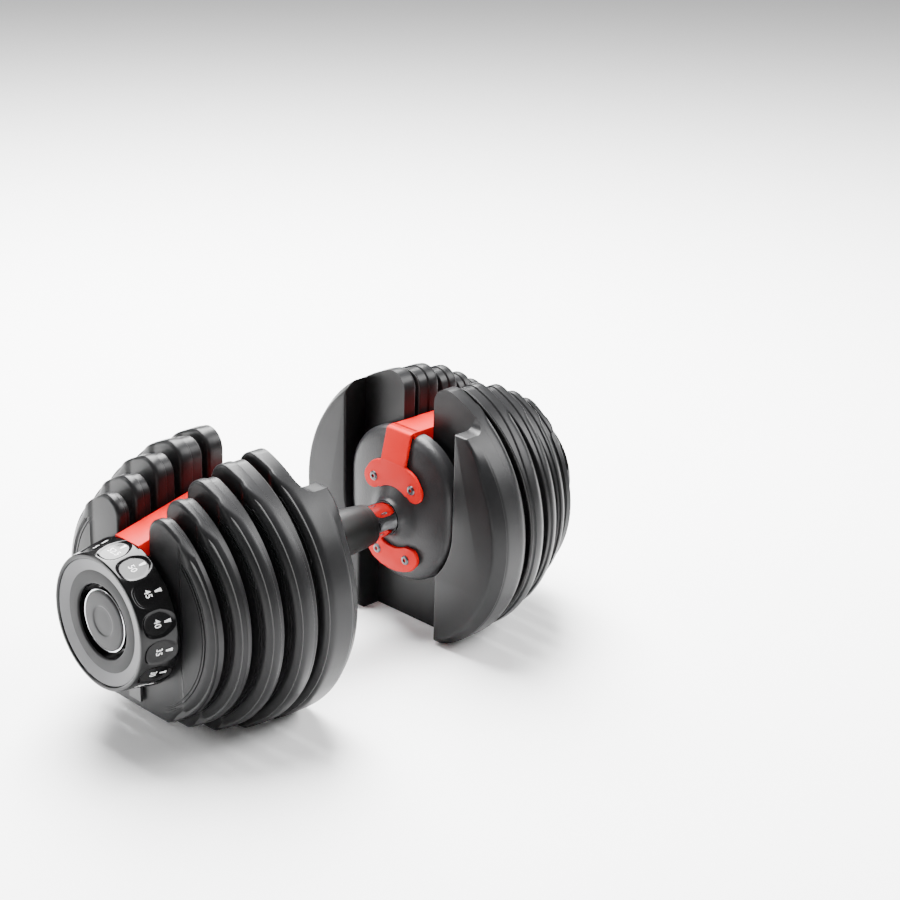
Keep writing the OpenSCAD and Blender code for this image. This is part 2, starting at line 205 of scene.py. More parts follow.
# ---- mesh helpers ----
def add_piece(name, bm, body, slot, replaced=(), smooth=30, material=None):
    """Turns a bmesh into a piece that rides on a body; edges sharper than smooth degrees stay crisp."""
    bmesh.ops.remove_doubles(bm, verts=bm.verts, dist=1e-7)
    bmesh.ops.recalc_face_normals(bm, faces=bm.faces)
    limit = math.radians(smooth)
    for face in bm.faces:
        face.smooth = True
    for edge in bm.edges:
        edge.smooth = len(edge.link_faces) == 2 and edge.calc_face_angle(0) < limit
    mesh = bpy.data.meshes.new(name)
    bm.to_mesh(mesh)
    bm.free()
    mesh.materials.append(material or MATS[slot])
    piece = bpy.data.objects.new(name, mesh)
    bpy.context.scene.collection.objects.link(piece)
    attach(piece, body)
    if replaced:
        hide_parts(*replaced)
    return piece


def add_rings(bm, rings, close_ends=(True, True)):
    """Skins a list of equally long closed rings of points, and returns the rings' vertices."""
    loops = [[bm.verts.new(p) for p in ring] for ring in rings]
    n = len(loops[0])
    for a, b in zip(loops, loops[1:]):
        for k in range(n):
            j = (k + 1) % n
            bm.faces.new((a[k], a[j], b[j], b[k]))
    if close_ends[0]:
        bm.faces.new(loops[0])
    if close_ends[1]:
        bm.faces.new(list(reversed(loops[-1])))
    return loops


def lathe(bm, place, profile):
    """Spins a closed outline of (outward X, radius) points about the handle's axis."""
    steps = 128
    rings = []
    for k in range(steps):
        a = 2 * math.pi * k / steps
        rings.append([place((x, r * math.sin(a), r * math.cos(a))) for x, r in profile])
    rings.append(rings[0])
    add_rings(bm, rings, (False, False))


def rounded(points, radius, steps, closed=True):
    """Rounds the corners of a 2-D outline, starting each curve where an arc of that radius would."""
    out = []
    n = len(points)
    for k in range(n):
        p = Vector(points[k])
        if not closed and k in (0, n - 1):
            out.append(tuple(p))
            continue
        a = Vector(points[k - 1]) - p
        b = Vector(points[(k + 1) % n]) - p
        angle = a.angle(b)
        nearly_straight = math.radians(176)
        if angle > nearly_straight:
            out.append(tuple(p))
            continue
        cut = min(radius / math.tan(angle / 2), a.length * 0.48, b.length * 0.48)
        start, end = p + a.normalized() * cut, p + b.normalized() * cut
        for j in range(steps + 1):
            t = j / steps
            out.append(tuple(start * (1 - t) ** 2 + p * 2 * t * (1 - t) + end * t ** 2))
    return out


def arc(cy, cz, r, a0, a1, steps, last=False):
    """Points on an arc in the (Y, Z) plane, angles in degrees from +Y towards +Z."""
    pts = []
    for k in range(steps + (1 if last else 0)):
        a = math.radians(a0 + (a1 - a0) * k / steps)
        pts.append((cy + r * math.cos(a), cz + r * math.sin(a)))
    return pts


def line(p, q, steps):
    """Points from p towards q, without q."""
    return [(p[0] + (q[0] - p[0]) * k / steps, p[1] + (q[1] - p[1]) * k / steps)
            for k in range(steps)]


# ---- plates ----
SLOT_HALF = 15.0
EAR_R = 13.0                     # the round tops either side of the slot
FOOT_ROUND = 6.0
BAND = 47.0                      # half width of the face's middle, up to the crease
CREASE_IN = 2.4
CREASE_OUT = 1.0
LOBE_FROM = 22.0                 # from here the middle falls gently to the crease
LOBE_DROP = 1.3
FACE_DROP = 0.25
SHOULDER_DROP = 0.2


def plate_outline(radius, foot, d):
    """Closed outline of a slotted plate, drawn in by d, with the same number of points at any d."""
    r, f, half = radius - d, EAR_R - d, SLOT_HALF + d
    low = foot - d
    c = FOOT_ROUND - min(d, FOOT_ROUND - 0.5)
    cy = math.sqrt(max((r - c) ** 2 - (low - c) ** 2, 0))
    cz = c - low
    ey, ez = half + f, math.sqrt((r - f) ** 2 - (half + f) ** 2)
    corner = math.degrees(math.atan2(cz, cy))
    ear = math.degrees(math.atan2(ez, ey))
    pts = line((0, -low), (cy, -low), 22)
    pts += arc(cy, cz, c, -90, corner, 8)
    pts += arc(0, 0, r, corner, ear, 96)
    pts += arc(ey, ez, f, ear, 180, 30)
    pts += line((half, ez), (half, 0), 16)
    pts += arc(0, 0, half, 0, -90, 14, last=True)
    return pts + [(-y, z) for y, z in reversed(pts[1:-1])]


def smoothstep(a, b, t):
    """Eases from 0 at a to 1 at b."""
    t = min(max((t - a) / (b - a), 0), 1)
    return t * t * (3 - 2 * t)


def inside(p, loop):
    """Whether a 2-D point lies within a closed outline."""
    y, z = p
    found = False
    for (y0, z0), (y1, z1) in zip(loop, loop[1:] + loop[:1]):
        if (z0 > z) != (z1 > z) and y < (y1 - y0) * (z - z0) / (z1 - z0) + y0:
            found = not found
    return found


def face_drop(y, radius, fall):
    """How far the outer face lies behind the plate's outermost plane, away from its edges."""
    a = abs(y)
    into = (a - LOBE_FROM) / (BAND - LOBE_FROM)
    lobe = LOBE_DROP * into ** 2 if 0 < into < 1 else 0
    step = smoothstep(BAND - CREASE_IN, BAND + CREASE_OUT, a)
    out = max(a - BAND, 0) / (radius - BAND)
    shoulder = SHOULDER_DROP + fall * out ** 1.4
    return lobe * (1 - step) + FACE_DROP + step * shoulder


EDGE_R = 2.6
CHAMFER = 6.2
CHAMFER_SLOPE = 0.16
GROOVES = [(8.1, 9.3, 0.7), (10.7, 11.4, 0.5)]      # the lines along the side rim: from, to, depth
INSETS = [0, 0.1, 0.3, 0.6, 1.0, 1.5, 2.0, EDGE_R, 3.3, 4.1, 5.0, CHAMFER, 7.4, 8.0, 8.2, 9.2, 9.4,
          10.6, 10.75, 11.35, 11.5, 12.2]


def edge_drop(d, on_rim):
    """Rounding, chamfer and grooves of the outer edge, d in from the outline."""
    edge = EDGE_R + (CHAMFER - EDGE_R) * on_rim
    drop = CHAMFER_SLOPE * max(CHAMFER - d, 0) * on_rim
    if d < edge:
        drop += edge * (1 - math.sqrt(max(1 - (1 - d / edge) ** 2, 0)))
    return drop + sum(depth for start, end, depth in GROOVES if start < d < end) * on_rim


def rim_share(y, z, radius):
    """1 along the side rim, 0 at the ears, the slot and the foot."""
    a = abs(y)
    if a < SLOT_HALF + EAR_R:
        return 0.0
    cusp, fade = cusp_angle(radius), 9
    foot_start, foot_end = -66, -56
    up = math.degrees(math.atan2(z, a))
    return smoothstep(cusp, cusp - fade, up) * smoothstep(foot_start, foot_end, up)


def cusp_angle(radius):
    """Direction, in degrees above the horizontal, in which the crease at BAND meets the rim."""
    return math.degrees(math.acos(BAND / (radius - CHAMFER)))


def ear_share(y, z):
    """1 on the ears and the slot's walls, 0 on the side rim and the foot."""
    if z <= 0:
        return 0.0
    if abs(y) < SLOT_HALF + 4:
        return smoothstep(0, 12, z)
    return smoothstep(25, 64, math.degrees(math.atan2(z, abs(y))))


CREASE_ROWS = (-2.4, -1.6, -0.8, 0.0, 0.8)           # rows of points along the crease, from BAND


def outer_face(bm, place, radius, foot, x_out, fall, rings):
    """Adds the detailed outer face to rings, whose last is the outermost one, and fills its middle."""
    flats = [plate_outline(radius, foot, d) for d in INSETS]
    for d, flat in zip(INSETS, flats):
        rings.append([place((x_out - face_drop(y, radius, fall)
                             - edge_drop(d, rim_share(y, z, radius)), y, z)) for y, z in flat])
    loops = add_rings(bm, rings, (True, False))
    rim = flats[-1]
    pts = list(rim)
    step = 2.6
    count = int(radius / step) + 1
    for a in range(-count, count + 1):
        for b in range(-count, count + 1):
            p = (a * step, b * step + (step / 2 if a % 2 else 0))
            near_crease = CREASE_ROWS[0] - 1.2 < abs(p[0]) - BAND < CREASE_ROWS[-1] + 1.2
            if not near_crease and inside(p, rim) and clear_of(p, rim, 1.6):
                pts.append(p)
    for s in (-1, 1):
        for off in CREASE_ROWS:
            for b in range(-count * 2, count * 2):
                p = (s * (BAND + off), b * step / 2)
                if inside(p, rim) and clear_of(p, rim, 1.0):
                    pts.append(p)
    n = len(rim)
    edges = [(k, (k + 1) % n) for k in range(n)]
    out = delaunay_2d_cdt([Vector(p) for p in pts], edges, [], 1, 1e-5)
    verts = []
    for k, p in enumerate(out[0]):
        origin = out[3][k]
        match = [o for o in origin if o < n]
        if match:
            verts.append(loops[-1][match[0]])
        else:
            verts.append(bm.verts.new(place((x_out - face_drop(p.x, radius, fall), p.x, p.y))))
    for tri in out[2]:
        mid = sum((out[0][k] for k in tri), Vector((0, 0))) / len(tri)
        if inside((mid.x, mid.y), rim):
            bm.faces.new([verts[k] for k in tri])


def clear_of(p, loop, gap):
    """Whether a 2-D point is further than gap from every point of an outline."""
    return all((p[0] - q[0]) ** 2 + (p[1] - q[1]) ** 2 > gap * gap for q in loop)


STEP_IN = 1.1                    # the backs of plates 2 to 5 are narrower by this, over STEP_W
STEP_W = 3.4
FALLS = {1: 1.8, 2: 3.8, 3: 3.8, 4: 2.8, 5: 2.3}     # from the crease to the rim, for each plate
EAR_SHIFT = {2: 5.2, 3: 3.6, 4: 2.6}                 # how much further out the ears' walls start


def make_plate(side, i):
    inner, outer, radius, foot = plate_sizes(i)
    fall = FALLS[i]
    bm = bmesh.new()
    place = lambda p: mirrored(side, p)
    back = inner if i > 1 else CHANNEL_X
    stations = [(back, STEP_IN + 1.6), (back + 0.25, STEP_IN + 0.4), (back + 0.8, STEP_IN),
                (back + STEP_W - 0.3, STEP_IN), (back + STEP_W, STEP_IN - 0.3),
                (back + STEP_W + 0.15, 0.5), (back + STEP_W + 0.5, 0.12), (back + STEP_W + 1.2, 0)]
    if i == 1:
        stations = [(back, 0)]
    flat = plate_outline(radius, foot, 0)
    shift = [EAR_SHIFT.get(i, 0) * ear_share(y, z) for y, z in flat]
    rings = []
    for k, (x, d) in enumerate(stations):
        part = 1 if k >= 3 else 0
        rings.append([place((x + part * extra, y, z))
                      for extra, (y, z) in zip(shift, plate_outline(radius, foot, d))])
    rings.append([place((x_wall(outer, y, z, radius, fall, stations[-1][0] + extra, 0.55), y, z))
                  for extra, (y, z) in zip(shift, flat)])
    outer_face(bm, place, radius, foot, outer, fall, rings)
    if i == 1:
        side_block(bm, side, 1, radius, foot, inner)
        side_block(bm, side, -1, radius, foot, inner)
    add_piece(f"{side}_plate_{i}_skin", bm, "handle", "plate_skin", [f"{side}_plate_{i}"], 34)
    bm = bmesh.new()
    for y_sign in (-1, 1):
        add_bead_loop(bm, place, y_sign, outer, radius, fall)
    add_piece(f"{side}_plate_{i}_beads", bm, "handle", "plate_skin", (), 60)


BEAD_R = 0.42
BEAD_LINES = (6.9, 8.5)                              # the loop's two lines, in from the outline
BEAD_TURN = [(0.6, 7.2), (1.0, 7.7), (0.6, 8.2)]     # its ends: degrees past the lines, and inset
BEAD_BELOW_CUSP = 8
BEAD_STEP = 1.5
BEAD_COUNT = 18


def add_bead_loop(bm, place, y_sign, outer, radius, fall):
    """A long thin loop of bead that runs down the outer face's rim from its cusp."""
    top = cusp_angle(radius) - BEAD_BELOW_CUSP
    end = top - BEAD_STEP * BEAD_COUNT
    path = [(top - k * BEAD_STEP, BEAD_LINES[0]) for k in range(BEAD_COUNT + 1)]
    path += [(end - past, d) for past, d in BEAD_TURN]
    path += [(end + k * BEAD_STEP, BEAD_LINES[1]) for k in range(BEAD_COUNT + 1)]
    path += [(top + past, d) for past, d in reversed(BEAD_TURN)]
    points = []
    for up, d in path:
        r, a = radius - d, math.radians(up)
        y, z = r * math.cos(a), r * math.sin(a)
        x = outer - face_drop(y, radius, fall) - edge_drop(d, rim_share(y, z, radius))
        points.append(Vector((x, y_sign * y, z)))
    rings = []
    for k, p in enumerate(points):
        along = (points[(k + 1) % len(points)] - points[k - 1]).normalized()
        out = Vector((1, 0, 0))
        across = along.cross(out).normalized()
        rings.append([place(p + (across * math.cos(t) + out * math.sin(t)) * BEAD_R)
                      for t in (math.pi * j / 4 for j in range(8))])
    rings.append(rings[0])
    add_rings(bm, rings, (False, False))


def x_wall(outer, y, z, radius, fall, start, share):
    """A place part of the way along the rim wall, which ends where the outer face begins."""
    end = outer - face_drop(y, radius, fall) - edge_drop(0, rim_share(y, z, radius))
    return start + (end - start) * share


# The innermost plate's side blocks, either side of the channel for the end plate
CHANNEL_HALF = 55.5
CHANNEL_Z = 3.0
CHANNEL_LOW = CHANNEL_HALF - 16
CHANNEL_X = plate_sizes(1)[0] + 20.5
BLOCK_TOP = 76.5
TAPER = 9.0                      # the rim narrows over this much at the block's inner end
TAPER_SLOPE = 0.62
FILLET = 9.0                     # between the low block's ledge and the ear above it
BLOCK_EDGE = [(0, 1.6), (0.12, 0.9), (0.5, 0.35), (1.1, 0.08), (1.8, 0)]    # outward X, inset


def block_outline(y_sign, r, r_top, foot, d, lift):
    """One side block's outline, drawn in by d from the channel, the foot and the top.

    The rim's radius is r, growing to r_top below the low block's ledge.
    """
    ch = CHANNEL_HALF + d
    low_y = CHANNEL_LOW + d
    c = FOOT_ROUND
    low = min(foot - d, c + math.sqrt((r - c) ** 2 - (low_y + 0.5) ** 2))
    turn = math.degrees(math.acos(low_y / ch))
    tall = y_sign > 0
    cy = math.sqrt(max((r - c) ** 2 - (low - c) ** 2, 0))
    cz = c - low
    corner = math.degrees(math.atan2(cz, cy))
    if tall:
        r_top = r
        top = math.sqrt(r * r - ch * ch)
    else:
        top = BLOCK_TOP - d + lift
    rim_top = math.degrees(math.asin(top / r_top))
    pts = line((low_y, -low), (cy, -low), 10)
    pts += arc(cy, cz, c, -90, corner, 8)
    for k in range(90):
        up = corner + (rim_top - corner) * k / 90
        here = r + (r_top - r) * smoothstep(26, 46, up)
        pts.append((here * math.cos(math.radians(up)), here * math.sin(math.radians(up))))
    edge_y = max(r_top * math.cos(math.radians(rim_top)), ch + 0.008)
    pts += line((edge_y, top), (ch, top), 8)
    pts += line((ch, top), (ch, CHANNEL_Z), 20)
    pts += arc(0, CHANNEL_Z, ch, 0, -turn, 24)
    pts += line((low_y, CHANNEL_Z - math.sqrt(ch * ch - low_y * low_y)), (low_y, -low), 16)
    return [(y_sign * y, z) for y, z in pts]


def side_block(bm, side, y_sign, radius, foot, inner):
    """One of the innermost plate's blocks, from its rounded inner end into the skin's back."""
    stations = []
    for x, d in BLOCK_EDGE:
        stations.append((inner + x, radius - TAPER_SLOPE * (TAPER - x) - 1.2 * d, d))
    for x in (3.5, 5.5, 7.5, 8.4):
        stations.append((inner + x, radius - TAPER_SLOPE * (TAPER - x), 0))
    for x, inset in ((8.8, 0.45), (9.2, 0.3), (9.9, 0.05), (10.6, 0.0)):
        stations.append((inner + x, radius - inset, 0))
    for k in range(9):
        stations.append((CHANNEL_X + 0.6 - FILLET * (1 - k / 8), radius, 0))
    rings = []
    for x, r, d in stations:
        into = max(x - (CHANNEL_X - FILLET), 0)
        lift = FILLET - math.sqrt(max(FILLET ** 2 - into ** 2, 0))
        outline = block_outline(y_sign, r, radius - 1.3 * d, foot, d, lift)
        rings.append([mirrored(side, (x, y, z)) for y, z in outline])
    add_rings(bm, rings)


for side in SIDES:
    for i in range(1, 6):
        make_plate(side, i)


# ---- end plates ----
REACH = 61.0
EP_HALF = CHANNEL_HALF - 3.5
EP_TOP = 62.0
EP_CORNER = 42.0
SHELL_EDGE = 8.0                 # the dome keeps the outline's shape up to this inset
SHELL_WIDTH = 26.0               # and is round at this one, where the boss begins
BOSS_FOOT_R = 26.4


def end_plate_radius(a):
    """Distance from the axis to the end plate's outline in the direction a, in radians from +Y."""
    c, s = math.cos(a), math.sin(a)
    if s <= 0:
        return EP_HALF
    flat = EP_HALF - EP_CORNER
    base = EP_TOP - EP_CORNER
    if abs(s) > 1e-6 and abs(c) * EP_TOP / s <= flat:
        return EP_TOP / s
    if abs(c) > 1e-6 and EP_HALF / abs(c) * s <= base:
        return EP_HALF / abs(c)
    b = flat * abs(c) + base * s
    return b + math.sqrt(b * b - flat * flat - base * base + EP_CORNER ** 2)


def make_end_plate(side):
    """Domed moulding with a raised boss that the handle tube goes into."""
    bm = bmesh.new()
    steps = 160
    shell = [(0, 15.5), (0, 11.0), (0.35, 9.0), (1.3, 7.0), (2.8, 5.4), (5.0, 4.2), (8.0, 3.2),
             (12.0, 2.2), (17.0, 1.2), (22.0, 0.5), (26.0, 0.15)]
    boss = [(25.5, 0.0), (24.0, -0.2), (22.6, -0.6), (21.0, -1.2), (19.4, -2.1), (17.8, -3.2),
            (16.2, -4.3), (15.0, -5.3), (14.2, -6.2), (13.7, -7.3), (13.4, -8.2), (13.2, -8.5),
            (12.9, -8.4), (TUBE_R + 0.1, -8.0), (TUBE_R + 0.1, 6)]
    rings = []
    for inset, x in shell:
        ring = []
        for k in range(steps):
            a = 2 * math.pi * k / steps
            full = end_plate_radius(a)
            r = full - inset
            if inset >= SHELL_EDGE:
                share = (inset - SHELL_EDGE) / (SHELL_WIDTH - SHELL_EDGE)
                r = full - SHELL_EDGE - (full - SHELL_EDGE - BOSS_FOOT_R) * share
            ring.append(mirrored(side, (REACH + x, r * math.cos(a), r * math.sin(a))))
        rings.append(ring)
    for r, x in boss:
        turns = [2 * math.pi * k / steps for k in range(steps)]
        rings.append([mirrored(side, (REACH + x, r * math.cos(a), r * math.sin(a)))
                      for a in turns])
    rings.append(rings[0])
    add_rings(bm, rings, (False, False))
    add_piece(f"{side}_end_plate_shell", bm, "handle", "end_plate_plastic",
              [f"{side}_end_plate"], 40)


# ---- red bracket, strap and bridge ----
SCREWS = [(19.1, 25.1), (14.6, -30.5)]
STRAP_HALF = 12.2
BRACKET_X = REACH - 0.1
BRACKET_T = 2.5
STRIP_Z = 64.6                   # top of the strip where it is level
STRIP_BEND_X = 112.0
STRIP_END = (173.0, 50.8)        # X and Z that the falling strip aims at
LEAF_X = (170.9, 172.95)
LEAF_BORE_R = 11.3


def slab_piece(bm, place, outline, x_back, thick, edge):
    """A flat plate from a (Y, Z) outline, with edges rounded towards the handle."""
    def inset(d):
        n = len(outline)
        ring = []
        for k in range(n):
            a, b = Vector(outline[k - 1]), Vector(outline[(k + 1) % n])
            along = (b - a).normalized()
            ring.append(Vector(outline[k]) + Vector((-along.y, along.x)) * d)
        return ring
    rings = []
    for x, d in ((0, 0), (thick - edge, 0), (thick - edge * 0.62, edge * 0.08),
                 (thick - edge * 0.29, edge * 0.29), (thick - edge * 0.08, edge * 0.62),
                 (thick, edge)):
        rings.append([place((x_back - x, p.x, p.y)) for p in inset(d)])
    add_rings(bm, rings)


def symmetric(half):
    """Closed outline from its +Y half, listed anticlockwise from the lower middle to the top."""
    return half + [(-y, z) for y, z in reversed(half) if abs(y) > 1e-6]


def bracket_outline():
    """The upper bracket: ears round two screws, narrowing upwards to the strap."""
    low = arc(0, 0, 22.4, 90, 52, 10)
    ear_y, ear_z = SCREWS[0]
    ear = arc(ear_y + 2.0, ear_z - 1.2, 8.2, 222, 398, 18)
    top = [(24.5, 33.2), (21.5, 36.2), (17.5, 38.4), (STRAP_HALF + 1.2, 39.4), (STRAP_HALF, 40.4)]
    return symmetric(low + ear + top)


def lower_outline():
    """The lower bracket: a crescent under the tube with a screw at each tip."""
    hole_y, hole_z = SCREWS[1]
    inner = arc(0, 0, 24.6, -90, -52, 8)
    tip = arc(hole_y + 4.0, hole_z + 2.6, 7.6, 72, -58, 14)
    outer = arc(0, 0, 42.6, -62, -90, 8, last=True)
    return list(reversed(symmetric(inner + tip + outer)))


def bent_bar(bm, place, path, section):
    """Sweeps a closed (Y, depth) section along an (X, Z) path, upright to it."""
    rings = []
    for k, (x, z) in enumerate(path):
        before = Vector(path[max(k - 1, 0)])
        after = Vector(path[min(k + 1, len(path) - 1)])
        t = (after - before).normalized()
        rings.append([place((x + t.y * depth, y, z - t.x * depth)) for y, depth in section])
    add_rings(bm, rings)


def make_bridge(side):
    """Bracket, leaning strap, bridge strip and the leaf behind the dial as one red piece."""
    place = lambda p: mirrored(side, p)
    bm = bmesh.new()
    slab_piece(bm, place, bracket_outline(), BRACKET_X, BRACKET_T, 0.7)
    # the strap leans back from the bracket, then bends over the end plate
    front = BRACKET_X - BRACKET_T
    top = STRIP_Z
    corner = [(front + 0.04, 37.0), (front + 0.04, 41.0), (front + 5.6, top - 1), (front + 9.5, top)]
    path = rounded(corner, 2.2, 6, closed=False)
    h, t = STRAP_HALF, BRACKET_T
    bar = rounded([(-h, 0), (h, 0), (h, t), (-h, t)], 0.6, 4)
    bent_bar(bm, place, path + [(front + 14, top)], bar)
    # the strip: level, then falling to the dial, with sloping sides
    bend, ease = STRIP_BEND_X, 6
    slope = (top - STRIP_END[1]) / (STRIP_END[0] - bend)
    run = [(front + 9, top), (front + 12, top), (90, top), (bend - ease, top)]
    for k in range(1, 6):
        x = bend - ease + 2 * ease * k / 6
        run.append((x, top - slope * (x - bend + ease) ** 2 / (4 * ease)))
    end_x = box_mm("right_bridge")[1].x - 3.5
    run += [(x, top - slope * (x - bend)) for x in (bend + ease, 135, 155, end_x + 2.2)]
    w, side_drop = 2.2, 9.0
    section = [(-h - 2, side_drop), (-h, 0.8), (-h + 0.25, 0.25), (-h + 0.8, 0), (h - 0.8, 0),
               (h - 0.25, 0.25), (h, 0.8), (h + 2, side_drop), (h + 2 - w, side_drop), (h - w, w),
               (-h + w, w), (-h - 2 + w, side_drop)]
    bent_bar(bm, place, run, section)
    # the leaf, cut round the lock pin's blade
    leaf = [(-11, -43), (-6.4, -43), (-6.4, -26), (6.4, -26), (6.4, -43), (11, -43), (11, -19),
            (19, -11), (22, 0), (19, 11), (h, 18), (h, 49), (-h, 49), (-h, 18), (-19, 11), (-22, 0),
            (-19, -11), (-11, -19)]
    turns = [t * math.pi / 20 for t in range(40)]
    bore = [(LEAF_BORE_R * math.cos(t), LEAF_BORE_R * math.sin(t)) for t in turns]
    add_holed(bm, place, rounded(leaf, 2, 3), bore, *LEAF_X)
    add_piece(f"{side}_bridge_strap", bm, "handle", "red_steel", [f"{side}_bridge"], 35)


def make_lower_bracket(side):
    bm = bmesh.new()
    slab_piece(bm, lambda p: mirrored(side, p), lower_outline(), BRACKET_X, BRACKET_T, 0.7)
    add_piece(f"{side}_lower_bracket_plate", bm, "handle", "red_steel",
              [f"{side}_lower_bracket"], 35)


def add_holed(bm, place, outline, hole, x0, x1):
    """A flat plate with one hole, from x0 to x1."""
    pts = [Vector(p) for p in outline + hole]
    n, m = len(outline), len(hole)
    edges = [(k, (k + 1) % n) for k in range(n)] + [(n + k, n + (k + 1) % m) for k in range(m)]
    out = delaunay_2d_cdt(pts, edges, [], 1, 1e-5)
    layers = [[bm.verts.new(place((x, p.x, p.y))) for p in out[0]] for x in (x0, x1)]
    for tri in out[2]:
        mid = sum((out[0][k] for k in tri), Vector((0, 0))) / 3
        if inside((mid.x, mid.y), outline) and not inside((mid.x, mid.y), hole):
            for layer in layers:
                bm.faces.new([layer[k] for k in tri])
    where = {o: k for k, origin in enumerate(out[3]) for o in origin}
    for a, b in edges:
        i, j = where[a], where[b]
        bm.faces.new((layers[0][i], layers[0][j], layers[1][j], layers[1][i]))


SCREW_HEAD = [(0.3, 3.7), (-0.2, 3.6), (-0.65, 3.3), (-1.0, 2.8), (-1.1, 2.2)]
SOCKET_R = 1.75
SOCKET_X = (-1.1, 0.1)


def make_screws(side):
    """Button heads with a hexagon socket."""
    bm = bmesh.new()
    face = BRACKET_X - BRACKET_T
    n = 36
    turns = [2 * math.pi * k / n for k in range(n)]
    sector = math.pi / 3
    corners = [SOCKET_R * math.cos(sector / 2) / math.cos((a % sector) - sector / 2) for a in turns]
    head = [(x, [r] * n) for x, r in SCREW_HEAD]
    socket = [(x, corners) for x in SOCKET_X]
    for s in (-1, 1):
        for y, z in SCREWS:
            rings = [[mirrored(side, (face + x, s * y + r * math.cos(a), z + r * math.sin(a)))
                      for a, r in zip(turns, radii)] for x, radii in head + socket]
            add_rings(bm, rings)
    add_piece(f"{side}_socket_screws", bm, "handle", "screw_steel", [f"{side}_bracket_screws"], 30)


# ---- handle ----
GRIP_HALF = 34.0
GRIP_R = 17.0
GRIP_TAPER = 2.2                 # how much thinner the ends are than the middle
ROLL_R = 1.6
GRIP_GROOVE = (3.2, 4.4)         # from the ends


def make_grip():
    """Barrel-shaped rubber sleeve with rolled ends and a fine groove at each."""
    profile = []
    for k in range(49):
        x = -GRIP_HALF + 2 * GRIP_HALF * k / 48
        r = GRIP_R - GRIP_TAPER * (x / GRIP_HALF) ** 2
        edge = GRIP_HALF - abs(x)
        if edge < ROLL_R:
            r -= ROLL_R - math.sqrt(max(ROLL_R ** 2 - (ROLL_R - edge) ** 2, 0))
        if GRIP_GROOVE[0] < edge < GRIP_GROOVE[1]:
            r -= 0.25
        profile.append((x, r))
    profile += [(GRIP_HALF, TUBE_R + 0.02), (-GRIP_HALF, TUBE_R + 0.02)]
    bm = bmesh.new()
    rings = []
    for k in range(96):
        a = 2 * math.pi * k / 96
        rings.append([mirrored("right", (x, r * math.cos(a), r * math.sin(a))) for x, r in profile])
    rings.append(rings[0])
    add_rings(bm, rings, (False, False))
    add_piece("rubber_grip", bm, "handle", "grip_rubber", ["grip"], 40)


# ---- dials ----
LABELS = ["5", "10", "12.5", "15", "17.5", "20", "22.5", "25", "27.5", "30", "35", "40", "45",
          "50", "52.5"]
PITCH = 360 / len(LABELS)
LABEL_TURN = 3.4                 # degrees past upright, towards +Y, of the number on top
DIAL_IN = box_mm("right_dial")[0].x
DIAL_OUT = box_mm("right_dial")[1].x
BAND_R = box_mm("right_dial")[1].y
RIM_R = 45.6
DISH_R = 34.5
CAP_R = 21.0
BEVEL_R = RIM_R - 2.9
GROOVE_R = 25.4
HUB_R = 11.3
# the finger recess round each number, a rounded rectangle with a flat floor
RECESS_X = 12.6
RECESS_HALF = (11.3, 9.2)        # along X and round the band, which is RECESS_R from the axis
RECESS_R = 47.8
RECESS_DEPTH = 1.2
RECESS_POWER = 2.6
RECESS_FLOOR_R = 46.0


def band_radius(x):
    """Radius of the number band before its recesses are cut."""
    t = (x - DIAL_IN) / (DIAL_OUT - DIAL_IN)
    r = BAND_R + (RIM_R + 0.3 - BAND_R) * t
    edge = min(x - DIAL_IN, DIAL_OUT - x)
    return r - (1.0 - math.sqrt(max(1 - (1 - edge / 1.0) ** 2, 0)) if edge < 1.0 else 0)


def recess_depth(x, a):
    """Depth of the finger recess at outward X and angle a, in degrees past a label."""
    u = (x - (DIAL_IN + RECESS_X)) / RECESS_HALF[0]
    v = math.radians(a) * RECESS_R / RECESS_HALF[1]
    if u < -0.2:
        # narrower towards the plates
        v *= 1 + 0.55 * (-u - 0.2)
    q = (abs(u) ** RECESS_POWER + abs(v) ** RECESS_POWER) ** (1 / RECESS_POWER)
    flat = RECESS_DEPTH - RECESS_FLOOR_R * (1 / math.cos(math.radians(a)) - 1)
    return max(flat, 0) * smoothstep(1.0, 0.86, q)


def dial_surface(x, a):
    """Radius of the band at outward X and angle a, in degrees from the top towards -Y."""
    near = (a + LABEL_TURN + PITCH / 2) % PITCH - PITCH / 2
    return band_radius(x) - recess_depth(x, near)


